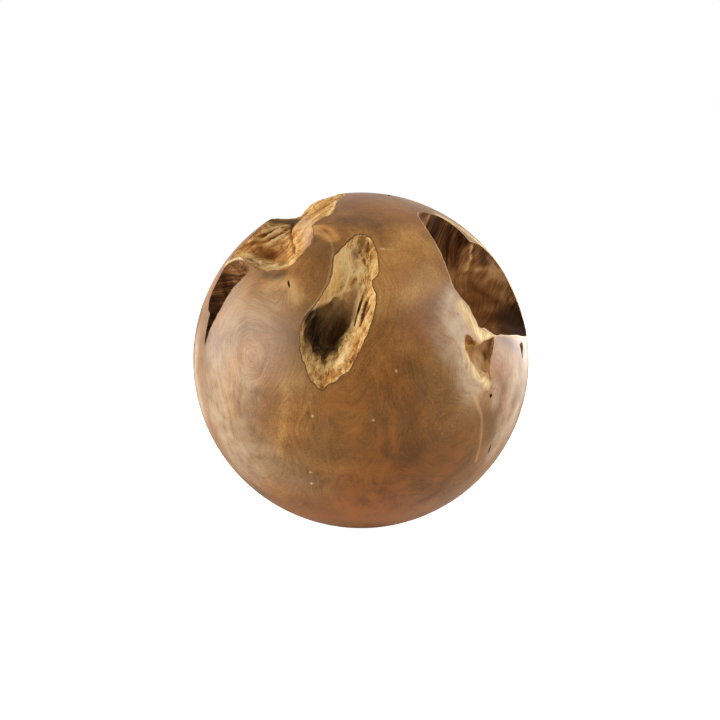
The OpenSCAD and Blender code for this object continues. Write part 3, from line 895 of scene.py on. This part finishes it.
def tornTeak():
    # raw sapwood that tore and weathered: matt, pale on the ridges and brown between them, partly painted
    # light on the ridges and painted shade in the grooves
    material, tree = newMaterial("raw weathered teak sapwood")
    place = addNode(tree, "TexCoord").outputs["Object"]
    cloud = addNode(tree, "TexNoise", {"Vector": place, "Scale": perMm(16), "Detail": 5, "Roughness": 0.6})
    fibre = calmed(tree, fibreStreaks(tree, 1.6, 26))   # bundles of fibres, 1.6 mm wide
    hair = calmed(tree, fibreStreaks(tree, 0.8, 9))     # loose fibres, drawn three times as coarse
    crumb = addNode(tree, "TexNoise", {"Vector": place, "Scale": perMm(2.2), "Detail": 4, "Roughness": 0.7})
    crumb = calmed(tree, crumb)
    split = addNode(tree, "MapRange", {0: fibreStreaks(tree, 1.3, 12), 1: 0.6, 2: 0.68})   # dark gaps
    relief, painted = [addNode(tree, "Attribute", attribute_name=name).outputs["Fac"]
                       for name in ("relief", "tone")]
    # the relief makes ridges lighter and grooves darker: painted light and shade over the weathered wood
    tone = toneOf(tree, [(cloud, 0.6), (fibre, 0.65), (hair, 0.7), (crumb, 0.7)],
                  [(relief, 0.12), (painted, 1), (split, -0.25)])
    colour = addNode(tree, "ValToRGB", {0: tone},
                     [(0.0, "#472814"), (0.2, "#805029"), (0.38, "#ae7e46"), (0.52, "#caa05f"),
                      (0.75, "#e3c48b")])
    colour = stained(tree, colour, fibre, 0.15,
                     {"pale": "#a8917a", "warm": "#b87436", "stain": "#28190d", "bare": "#f2e2c4"})
    colour = rimLine(tree, colour, "#3d2b1c", "#d3b184", 0.4)
    height = toneOf(tree, [(fibre, 0.9), (hair, 0.8), (crumb, 0.8)])
    bump = addNode(tree, "Bump", {"Height": height, "Strength": 0.5, "Distance": 0.0012})
    shader = addNode(tree, "BsdfPrincipled", {"Base Color": colour, "Roughness": 0.9,
                                              "Specular IOR Level": 0.1, "Normal": bump})
    addNode(tree, "OutputMaterial", {"Surface": shader})
    return material


def darkTeak(group):
    # heartwood wall of an old split, brushed and lacquered: dark, with long fibre streaks
    material, tree = newMaterial("lacquered dark teak heartwood")
    wood = addNode(tree, "Group", node_tree=group).outputs
    streak = calmed(tree, fibreStreaks(tree, 2.4, 60))  # growth layers cut lengthways, 2.4 mm wide
    hair = fibreStreaks(tree, 0.9, 30)                  # pores along them, drawn three times as coarse
    relief, painted = [addNode(tree, "Attribute", attribute_name=name).outputs["Fac"]
                       for name in ("relief", "tone")]
    # the relief makes ridges lighter and grooves darker: painted light and shade over the wood
    tone = toneOf(tree, [(wood["Cloud"], 0.5), (wood["Fine"], 0.5), (streak, 1.3), (hair, 0.9)],
                  [(relief, 0.1), (painted, 1)])
    colour = addNode(tree, "ValToRGB", {0: tone},
                     [(0.1, "#2b190c"), (0.32, "#4d2f17"), (0.5, "#6b4425"), (0.7, "#8a5f36"),
                      (0.95, "#b48a58")])
    colour = stained(tree, colour, streak, 0.15, {"pale": "#7c6455", "warm": "#8a5220", "stain": "#26170d"})
    colour = rimLine(tree, colour, "#2a1c12", "#6b4c2c", 0.4)
    bump = addNode(tree, "Bump", {"Height": streak, "Strength": 0.3, "Distance": 0.001})
    shader = addNode(tree, "BsdfPrincipled", {"Base Color": colour, "Roughness": 0.6,
                                              "Specular IOR Level": 0.07, "Normal": bump})
    addNode(tree, "OutputMaterial", {"Surface": shader})
    return material


def crackTeak():
    # end grain down a drying crack or a borer hole: nearly black
    material, tree = newMaterial("dark teak inside a crack")
    place = addNode(tree, "TexCoord").outputs["Object"]
    grain = addNode(tree, "TexNoise", {"Vector": place, "Scale": perMm(3), "Detail": 3})
    colour = addNode(tree, "ValToRGB", {0: grain}, [(0.35, "#1c120a"), (0.65, "#3a2616")])
    shader = addNode(tree, "BsdfPrincipled", {"Base Color": colour, "Roughness": 0.9})
    addNode(tree, "OutputMaterial", {"Surface": shader})
    return material


mesh = carveBall()
teakRootBall = link(bpy.data.objects.new("teakRootBall", mesh))
group = figureGroup()
for material in (sandedTeak(group), tornTeak(), darkTeak(group), crackTeak()):
    mesh.materials.append(material)
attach(teakRootBall, "root")
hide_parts(ball["node"])
print("ball finished")


studio = {
    "floorSize": 12,
    "floorColour": "#e8e8e8",
    "floorGlow": 0.95,       # seen by the camera alone, so that the floor meets the white behind it
    "worldLevel": 0.12,      # how much the white surroundings light the ball
    "lampDistance": 1.7,
    # the turn, rise, size in metres and watts of each lamp
    "lamps": {
        "leftSoftBox": (-66, 12, 1, 32),
        "leftRimSoftBox": (-105, 8, 1, 17),
        "rightSoftBox": (98, 10, 1, 27),
        "rightRimSoftBox": (135, 4, 0.8, 19),
        "topSoftBox": (58, 38, 1, 16),
    },
}

floorMesh = bpy.data.meshes.new("floor")
floorBm = bmesh.new()
bmesh.ops.create_grid(floorBm, x_segments=1, y_segments=1, size=studio["floorSize"] / 2)
bmesh.ops.translate(floorBm, verts=floorBm.verts, vec=(0, 0, cadLow.z))
floorBm.to_mesh(floorMesh)
floorBm.free()
floor = link(bpy.data.objects.new("floor", floorMesh))
floorPaint, tree = newMaterial("pale matt floor")
path = addNode(tree, "LightPath")
diffuse = addNode(tree, "BsdfDiffuse", {"Color": hexToLinear(studio["floorColour"])})
lift = addNode(tree, "Emission", {"Color": (1, 1, 1, 1), "Strength": studio["floorGlow"]})
both = addNode(tree, "AddShader", {0: diffuse, 1: lift})
seen = addNode(tree, "MixShader", {0: path.outputs["Is Camera Ray"], 1: diffuse, 2: both})
addNode(tree, "OutputMaterial", {"Surface": seen})
floorMesh.materials.append(floorPaint)

world = bpy.data.worlds.new("studio")
scene.world = world
world.use_nodes = True
tree = world.node_tree
tree.nodes.clear()
path = addNode(tree, "LightPath")
seen = addNode(tree, "Math", {0: path.outputs["Is Camera Ray"], 1: path.outputs["Is Glossy Ray"]},
               operation="MAXIMUM")
seen = addNode(tree, "Math", {0: seen, 1: path.outputs["Is Transmission Ray"]}, operation="MAXIMUM")
level = addNode(tree, "MapRange", {0: seen, 3: studio["worldLevel"], 4: 1})
background = addNode(tree, "Background", {"Color": (1, 1, 1, 1), "Strength": level})
addNode(tree, "OutputWorld", {"Surface": background})

for name, (turn, rise, size, watts) in studio["lamps"].items():
    light = bpy.data.lights.new(name, "AREA")
    light.size = size
    light.energy = watts
    lamp = link(bpy.data.objects.new(name, light))
    towards = frameAt(turn, rise)[2]
    lamp.location = towards * studio["lampDistance"]
    lamp.rotation_euler = (-towards).to_track_quat("-Z", "Y").to_euler()

scene.view_settings.view_transform = "Standard"
print("studio set")
